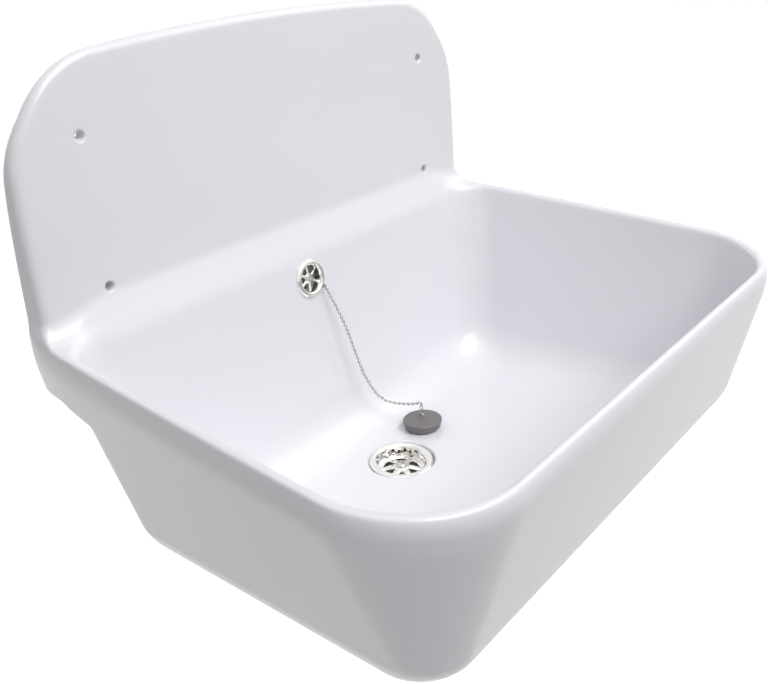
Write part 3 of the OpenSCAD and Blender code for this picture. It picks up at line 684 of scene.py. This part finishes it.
def settle(field, points, faces, rounds, reach):
    """Evens out the points along the surface and puts them back on it."""
    loops = np.concatenate([faces[:, [i, (i + 1) % 4]] for i in range(4)])
    both = np.concatenate([loops, loops[:, ::-1]])
    number = np.bincount(both[:, 0], minlength=len(points))
    start = points.copy()
    near = 0.04
    for step in range(rounds + 2):
        if step < rounds:
            total = np.stack([np.bincount(both[:, 0], points[both[:, 1], n], len(points))
                              for n in range(3)], 1)
            points = points + 0.5 * (total / number[:, None] - points)
        for _ in range(2):
            value = field(points[:, 0], points[:, 1], points[:, 2])
            slope = []
            for n in range(3):
                shift = np.zeros(3)
                shift[n] = near
                ahead, behind = points + shift, points - shift
                slope.append((field(*ahead.T) - field(*behind.T)) / (2 * near))
            slope = np.stack(slope, 1)
            size = np.maximum((slope ** 2).sum(1), 0.2)
            move = slope * (value / size)[:, None]
            length = np.linalg.norm(move, axis=1, keepdims=True)
            points = points - move * np.minimum(1, reach / np.maximum(length, 1e-9))
    away = np.linalg.norm(points - start, axis=1) > 3 * reach
    points[away] = start[away]
    return points


# ---------------------------------------------------------------- the chain
# The route of part.scad, in millimetres with heights from the rim
ROUTE = [(13, -48, -43.5), (15, -51, -52), (18, -56, -64), (21, -60.5, -77), (23.5, -65, -91),
         (26, -69, -106), (28.5, -73, -121), (31, -77.5, -136), (34.5, -83, -149), (38, -89, -159),
         (42.5, -96, -165.5), (47.5, -104, -168), (53, -113, -168.5), (58, -121, -167.5),
         (61.5, -127, -165.5)]
BEAD_D = 3.4
BEAD_PITCH = 4.7
BEAD_SIDES = 14
WIRE_D = 1.1


def route_points():
    return [Vector((x, y, z + RIM_Z)) * MM for x, y, z in ROUTE]


def along(points, step, count):
    """Points at even steps along a line of straight pieces."""
    found = []
    for i in range(count):
        left = i * step
        for a, b in zip(points, points[1:]):
            piece = (b - a).length
            if left <= piece or b is points[-1]:
                found.append((a + (b - a) * (left / piece), (b - a).normalized()))
                break
            left -= piece
    return found


def ball(mesh, centre, direction, radius):
    """One bead: round, with a small flat at each end where the wire enters."""
    turn = direction.to_track_quat("Z", "Y").to_matrix().to_4x4()
    turn.translation = centre
    rings = []
    for a in (-68, -50, -30, -10, 10, 30, 50, 68):
        h, r = radius * math.sin(math.radians(a)), radius * math.cos(math.radians(a))
        rings.append([mesh.verts.new(turn @ Vector((r * math.cos(t), r * math.sin(t), h)))
                      for t in [math.tau * i / BEAD_SIDES for i in range(BEAD_SIDES)]])
    loft(mesh, rings)
    mesh.faces.new(rings[0][::-1])
    mesh.faces.new(rings[-1])


# ---------------------------------------------------------------- operators
# The camera's place in millimetres with its height from the rim, and its shift in pixels
CAMERA_PLACE = (-587.45, -614.30, 316.09)
CAMERA_FORWARD = (0.707, 0.551, -0.443)
CAMERA_SHIFT = (-22.8, -10.6)
PHOTO_WIDE = 768
SENSOR_WIDTH = 36
FLOOR_HALF = 9.0
# Distance and strength of the floor's glow, near and far
GLOW_NEAR, GLOW_FAR = (0.8, 0.80), (2.6, 1.0)
SOFTBOX_SIZE = (1.6, 1.4)
LAMPS_AIM = (0, -0.2, -0.12)


class SINK_OT_stage(bpy.types.Operator):
    """Make the camera, the floor and the lights"""

    bl_idname = "sink.stage"
    bl_label = "Stage"

    def execute(self, context):
        stage = context.scene.sink_stage
        scene = context.scene
        camera = bpy.data.objects.new("view_camera", bpy.data.cameras.new("view_camera"))
        scene.collection.objects.link(camera)
        x, y, z = CAMERA_PLACE
        camera.location = Vector((x, y, z + RIM_Z)) * MM
        forward = Vector(CAMERA_FORWARD).normalized()
        camera.rotation_euler = forward.to_track_quat("-Z", "Y").to_euler()
        camera.data.sensor_width = SENSOR_WIDTH
        camera.data.lens = stage.lens
        camera.data.shift_x = CAMERA_SHIFT[0] / PHOTO_WIDE
        camera.data.shift_y = CAMERA_SHIFT[1] / PHOTO_WIDE
        camera.data.clip_start = 0.01
        scene.camera = camera
        scene.view_settings.view_transform = "Standard"
        self.floor(stage)
        self.lights(stage, scene)
        return {"FINISHED"}

    def floor(self, stage):
        """A pale floor that the camera sees as white further away."""
        mesh = bpy.data.meshes.new("studio_floor")
        s, z = FLOOR_HALF, -stage.floor_drop
        mesh.from_pydata([(-s, -s, z), (s, -s, z), (s, s, z), (-s, s, z)], [], [(0, 1, 2, 3)])
        floor = bpy.data.objects.new("studio_floor", mesh)
        bpy.context.scene.collection.objects.link(floor)
        material = bpy.data.materials.new("pale_floor")
        tree, add = node_maker(material)
        matt = add("ShaderNodeBsdfDiffuse", Color=(0.45, 0.45, 0.46, 1))
        place = add("ShaderNodeTexCoord")
        length = add("ShaderNodeVectorMath", operation="LENGTH")
        tree.links.new(place.outputs["Object"], length.inputs[0])
        fade = add("ShaderNodeMapRange")
        fade.inputs["From Min"].default_value, fade.inputs["To Min"].default_value = GLOW_NEAR
        fade.inputs["From Max"].default_value, fade.inputs["To Max"].default_value = GLOW_FAR
        tree.links.new(length.outputs["Value"], fade.inputs["Value"])
        glow = add("ShaderNodeEmission", Color=(1, 1, 1, 1))
        tree.links.new(fade.outputs["Result"], glow.inputs["Strength"])
        both = add("ShaderNodeAddShader")
        tree.links.new(matt.outputs[0], both.inputs[0])
        tree.links.new(glow.outputs[0], both.inputs[1])
        out = add("ShaderNodeOutputMaterial")
        mixed = mix_shaders(tree, add, seen_directly(tree, add), matt, both)
        tree.links.new(mixed, out.inputs[0])
        mesh.materials.append(material)

    def lights(self, stage, scene):
        """A weak dome that the camera sees as plain white, and the softboxes."""
        world = bpy.data.worlds.new("studio")
        scene.world = world
        tree, add = node_maker(world)
        dome = add("ShaderNodeBackground", Color=(0.97, 0.98, 1.0, 1), Strength=stage.dome)
        plain = add("ShaderNodeBackground", Color=(1, 1, 1, 1), Strength=1.0)
        out = add("ShaderNodeOutputWorld")
        mixed = mix_shaders(tree, add, seen_directly(tree, add), dome, plain)
        tree.links.new(mixed, out.inputs[0])
        self.softbox("top_softbox", (0, -0.3, 2.0), stage.top_lamp)
        self.softbox("front_softbox", (0, -1.35, 1.7), stage.front_lamp)
        self.softbox("right_softbox", (1.5, -0.8, 1.4), stage.right_lamp)
        self.softbox("left_softbox", (-2.2, -0.4, 0.3), stage.left_lamp, seen_in_gloss=False)
        self.softbox("fill_softbox", (2.2, -0.4, 0.3), stage.fill_lamp, seen_in_gloss=False)
        self.softbox("back_softbox", (0.4, 2.2, 0.5), stage.back_lamp)

    def softbox(self, name, place, power, seen_in_gloss=True):
        lamp = bpy.data.lights.new(name, "AREA")
        lamp.shape = "RECTANGLE"
        lamp.size, lamp.size_y = SOFTBOX_SIZE
        lamp.energy = power
        box = bpy.data.objects.new(name, lamp)
        bpy.context.scene.collection.objects.link(box)
        box.location = place
        box.visible_glossy = seen_in_gloss
        aim = Vector(LAMPS_AIM) - box.location
        box.rotation_euler = aim.to_track_quat("-Z", "Y").to_euler()


class SINK_OT_chain(bpy.types.Operator):
    """Make the ball chain, from its ring at the overflow to its link over the plug"""

    bl_idname = "sink.chain"
    bl_label = "Ball chain"

    def execute(self, context):
        points = route_points()
        length = sum((b - a).length for a, b in zip(points, points[1:]))
        curve = bpy.data.curves.new("chain_wire", "CURVE")
        curve.dimensions = "3D"
        curve.bevel_depth = WIRE_D / 2 * MM
        curve.bevel_resolution = 3
        spline = curve.splines.new("POLY")
        spline.points.add(len(points) - 1)
        for target, point in zip(spline.points, points):
            target.co = (*point, 1)
        wire = add_piece("chain_wire", curve, "plug", finish("nickel"), ["ball_chain"])
        count = int(length / (BEAD_PITCH * MM)) + 1
        mesh = bmesh.new()
        for centre, direction in along(points, BEAD_PITCH * MM, count):
            ball(mesh, centre, direction, BEAD_D / 2 * MM)
        data = bpy.data.meshes.new("chain_beads")
        mesh.to_mesh(data)
        mesh.free()
        data.shade_smooth()
        beads = add_piece("chain_beads", data, "plug", finish("nickel"))
        tuple(points[0])
        return {"FINISHED"}


class SINK_OT_moulding(bpy.types.Operator):
    """Make the white moulding: bowl, lip, ledge and back panel in one skin"""

    bl_idname = "sink.moulding"
    bl_label = "Moulding"

    def execute(self, context):
        shape = context.scene.sink_shape
        solid = Moulding(shape)
        cell = shape.cell / MM * 1.0
        half = solid.w / 2
        xs = grid_lines(-half - 4, half + 4, cell, [
            (-half + 12, 12, 1.7), (half - 12, 12, 1.7), (-205, 7, 1.1), (205, 7, 1.1),
            (-205 / 3, 3, 1.0), (205 / 3, 3, 1.0), (0, 36, 2.2)])
        ys = grid_lines(-solid.d - 4, 4, cell, [
            (-solid.d + 6, 8, 1.6), (-WASTE_Y, 36, 2.4), (-25, 28, 1.7), (-1.5, 2, 1.1)])
        zs = grid_lines(solid.floor - 18, solid.panel_h + 4, cell, [
            (-9, 12, 1.5), (26, 7, 1.1), (144, 7, 1.1), (solid.floor, 8, 1.8),
            (solid.panel_h, 8, 1.8), (-FLANGE_H, 5, 1.5)])
        points, faces = net_surface(solid.field, xs, ys, zs)
        points = settle(solid.field, points, faces, 3, 1.2)
        if len(points) < 1000:
            raise RuntimeError("the moulding's surface came out empty")
        points = (points + np.array([0, 0, RIM_Z])) * MM
        mesh = bpy.data.meshes.new("sink_moulding")
        mesh.from_pydata(points.tolist(), [], faces.tolist())
        mesh.validate()
        mesh.update()
        mesh.shade_smooth()
        add_piece("sink_moulding", mesh, "sink", finish("moulding"), ["basin"])
        return {"FINISHED"}


# Millimetres from the floor at the waste
CUP_R = 23.4
CUP_SEGMENTS = 120
# Each wave in the cup's wall takes this many segments
FLUTE_SEGMENTS = 10
FLUTE_DEPTH = 0.45
PLATE_Z = -11.0
ARMS = 6
HUB_TOP = -7.0
HEAD_STEPS = 24


class SINK_OT_waste(bpy.types.Operator):
    """Make the chromed waste: flange, waved cup, strainer and slotted screw"""

    bl_idname = "sink.waste"
    bl_label = "Waste"

    def execute(self, context):
        place = tipped((0, -WASTE_Y, RIM_Z - context.scene.sink_shape.floor_depth / MM), 0)
        self.flange(place)
        self.screw(place)
        give(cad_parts["waste_nut_insert"], finish("brass"))
        return {"FINISHED"}

    def flutes(self, i, r, z):
        """Upright waves in the cup's wall."""
        if abs(r - CUP_R) >= 0.3 or not -9.5 < z < -3.0:
            return 0.0
        return -FLUTE_DEPTH * (1 - math.cos(math.tau * i / FLUTE_SEGMENTS))

    def flange(self, place):
        """One turned part: ring, cup and throat, with the strainer's hub and arms in it."""
        mesh = bmesh.new()
        ring = fillet([(CUP_R, -2.2), (25.2, -0.1), (29.4, 0.2), (31.2, -0.7), (31.5, -2.0)],
                      1.8, 5)
        outline = [(17.2, -20.0), (17.2, PLATE_Z - 1.6), (17.8, PLATE_Z - 0.3), (18.6, PLATE_Z),
                   (CUP_R - 1.2, PLATE_Z), (CUP_R - 0.2, PLATE_Z + 0.6), (CUP_R, PLATE_Z + 1.2),
                   (CUP_R, -9.0), (CUP_R, -3.6), (CUP_R, -3.0)] + ring
        outline += [(24.4, -2.2), (24.4, -12.0), (21.4, -14.0), (20.2, -20.0)]
        lathe(mesh, outline, place, segments=CUP_SEGMENTS, wave=self.flutes)
        hub = fillet([(0.0, HUB_TOP), (6.4, HUB_TOP), (8.2, HUB_TOP - 1.2), (8.6, HUB_TOP - 4)],
                     0.9)
        hub += [(4.2, HUB_TOP - 4.4), (4.2, HUB_TOP - 4.5), (0.0, HUB_TOP - 4.5)]
        lathe(mesh, hub, place, closed=False)
        for i in range(ARMS):
            t = math.tau * (i + 0.15) / ARMS
            path = [(r * math.cos(t), r * math.sin(t), z) for r, z in
                    ((6.5, HUB_TOP - 1.9), (10.0, HUB_TOP - 2.6), (13.5, HUB_TOP - 3.6),
                     (16.0, PLATE_Z - 0.5), (18.6, PLATE_Z - 1.4))]
            sweep(mesh, path, place, 6.6, 3.0)
        turned_piece("waste_strainer", mesh, "sink", finish("chrome"), ["waste_flange"])

    def screw(self, place):
        """A long screw whose head is two half discs with a slot between them."""
        mesh = bmesh.new()
        low, top, slot = HUB_TOP - 0.4, HUB_TOP + 2.6, 0.75
        outline = [(0.0, top - 1.3), (5.4, top - 1.3), (6.0, low), (3.8, low - 0.4), (3.8, -55.0),
                   (3.0, -59.0), (0.0, -59.0)]
        lathe(mesh, fillet(outline, 0.4, 2), place, segments=64, closed=False)
        for side in (-1, 1):
            arcs = []
            for r, z in ((5.4, top - 1.35), (5.0, top - 0.5), (4.3, top)):
                end = math.acos(slot / r)
                arc = []
                for i in range(HEAD_STEPS + 1):
                    t = end * (1 - i / (HEAD_STEPS // 2))
                    at = Vector((side * r * math.cos(t), r * math.sin(t), z)) * MM
                    arc.append(mesh.verts.new(place @ at))
                arcs.append(arc)
            for one, two in zip(arcs, arcs[1:]):
                for i in range(HEAD_STEPS):
                    mesh.faces.new((one[i], one[i + 1], two[i + 1], two[i]))
                mesh.faces.new((one[0], two[0], two[-1], one[-1]))
            mesh.faces.new(arcs[0])
            mesh.faces.new(arcs[-1])
        turned_piece("waste_long_screw", mesh, "sink", finish("steel"), ["waste_screw"])


VANES = 6


class SINK_OT_overflow(bpy.types.Operator):
    """Make the overflow's raised ring with its dish and vanes, and finish the chain's stay"""

    bl_idname = "sink.overflow"
    bl_label = "Overflow"

    def execute(self, context):
        place = tipped((0, -BACK_Y, RIM_Z - OVER_DROP), 90 - math.degrees(OVER_TILT))
        mesh = bmesh.new()
        ring = fillet([(19.0, -0.3), (19.0, 0.6), (17.6, 2.5), (15.3, 3.2), (13.7, 2.6),
                       (12.7, 0.6), (12.1, -5.0)], 1.6, 5)
        lathe(mesh, ring + [(12.85, -5.0), (12.85, -0.3)], place)
        hub = fillet([(0.0, -1.1), (4.6, -1.1), (5.2, -1.8), (5.0, -4.2), (0.0, -4.2)], 0.5)
        lathe(mesh, hub, place, segments=48, closed=False)
        for i in range(VANES):
            t = math.tau * (i + 0.5) / VANES
            path = [(r * math.cos(t), r * math.sin(t), z) for r, z in
                    ((4.4, -2.0), (7.0, -2.3), (9.6, -2.8), (12.3, -3.4))]
            sweep(mesh, path, place, 2.6, 1.9)
        turned_piece("overflow_ring", mesh, "sink", finish("chrome"),
                     ["overflow_rosette"])
        for node in ("chain_stay", "chain_ring"):
            give(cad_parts[node], finish("nickel"))
        give(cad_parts["overflow_screw"], finish("steel"))
        give(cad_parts["elbow_nut_insert"], finish("brass"))
        return {"FINISHED"}


# Millimetres from the plug's top face
PLUG_H = 9.0
PLUG_TILT = 5.0
STAPLE_D = 1.2
STAPLE_R, STAPLE_LOW, STAPLE_HIGH = 2.4, -0.6, 3.4
LINK_R, LINK_LOW, LINK_HIGH = 1.7, 6.1, 14.8
LOOP_STEPS = 12


class SINK_OT_plug(bpy.types.Operator):
    """Finish the rubber plug, and make its wire staple and the link on it"""

    bl_idname = "sink.plug"
    bl_label = "Plug"

    def execute(self, context):
        give(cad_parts["plug"], finish("plug"))
        low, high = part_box("plug")
        tilt = math.radians(PLUG_TILT)
        middle = (Vector(low) + Vector(high)) / 2 / MM
        # The top face's middle, from the middle of the tilted plug's box
        top = middle + Vector((0, math.sin(tilt), math.cos(tilt))) * (PLUG_H / 2)
        place = tipped(top, -PLUG_TILT)
        staple = self.loop("YZ", STAPLE_R, STAPLE_LOW, STAPLE_HIGH)
        mesh = bmesh.new()
        sweep(mesh, staple, place, STAPLE_D, STAPLE_D, up=(1, 0, 0))
        turned_piece("plug_staple", mesh, "plug", finish("steel"), ["plug_eye"])
        mesh = bmesh.new()
        link = self.loop("XZ", LINK_R, LINK_LOW, LINK_HIGH)
        bottom = []
        for i in range(LOOP_STEPS + 1):
            t = -math.pi + math.pi * i / LOOP_STEPS
            bottom.append((LINK_R * math.cos(t), 0, LINK_LOW + LINK_R * math.sin(t)))
        sweep(mesh, bottom[:-1] + link[::-1] + bottom[:1], place, WIRE_D, WIRE_D, up=(0, 1, 0))
        turned_piece("plug_link", mesh, "plug", finish("nickel"), ["chain_link"])
        return {"FINISHED"}

    def loop(self, plane, radius, low, arc_z):
        """An upside-down U: two legs and a half ring."""
        middle = arc_z * 0.5 + low * 0.5
        side = [(-radius, low), (-radius, middle)]
        for i in range(LOOP_STEPS + 1):
            t = math.pi * i / LOOP_STEPS
            side.append((radius * math.cos(math.pi - t), arc_z + radius * math.sin(t)))
        side += [(radius, middle), (radius, low)]
        return [(0, s, z) if plane == "YZ" else (s, 0, z) for s, z in side]


class SINK_OT_pipework(bpy.types.Operator):
    """Finish the waste body, the overflow pipe, its nuts and the seals"""

    bl_idname = "sink.pipework"
    bl_label = "Pipework"

    def execute(self, context):
        for node in ("waste_body", "overflow_elbow", "overflow_pipe"):
            give(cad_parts[node], finish("pipe"))
        for node in ("upper_union_nut", "lower_union_nut"):
            give(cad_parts[node], finish("nut"))
        for node in ("flange_seal", "under_seal", "overflow_seal",
                     "upper_cone_seal", "lower_cone_seal"):
            give(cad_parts[node], finish("seal"))
        return {"FINISHED"}


class SINK_PT_panel(bpy.types.Panel):
    """Sidebar panel with the sink's settings and steps"""

    bl_label = "Mop service sink"
    bl_idname = "SINK_PT_panel"
    bl_space_type = "VIEW_3D"
    bl_region_type = "UI"
    bl_category = "Sink"

    def draw(self, context):
        layout = self.layout
        scene = context.scene
        for group in (scene.sink_shape, scene.sink_finish, scene.sink_stage):
            box = layout.box()
            for key in group.bl_rna.properties.keys():
                if key not in ("rna_type", "name"):
                    box.prop(group, key)
        for operator in OPERATORS:
            layout.operator(operator.bl_idname)


OPERATORS = (SINK_OT_stage, SINK_OT_chain, SINK_OT_moulding, SINK_OT_waste, SINK_OT_overflow,
             SINK_OT_plug, SINK_OT_pipework)
CLASSES = (SinkShape, SinkFinish, SinkStage) + OPERATORS + (SINK_PT_panel,)


def register():
    for cls in CLASSES:
        bpy.utils.register_class(cls)
    bpy.types.Scene.sink_shape = bpy.props.PointerProperty(type=SinkShape)
    bpy.types.Scene.sink_finish = bpy.props.PointerProperty(type=SinkFinish)
    bpy.types.Scene.sink_stage = bpy.props.PointerProperty(type=SinkStage)


def unregister():
    del bpy.types.Scene.sink_stage
    del bpy.types.Scene.sink_finish
    del bpy.types.Scene.sink_shape
    for cls in reversed(CLASSES):
        bpy.utils.unregister_class(cls)


def main():
    register()
    bpy.ops.sink.stage()
    bpy.ops.sink.chain()
    bpy.ops.sink.moulding()
    bpy.ops.sink.waste()
    bpy.ops.sink.overflow()
    bpy.ops.sink.plug()
    bpy.ops.sink.pipework()
    bpy.context.view_layer.update()


if __name__ == "__main__":
    main()
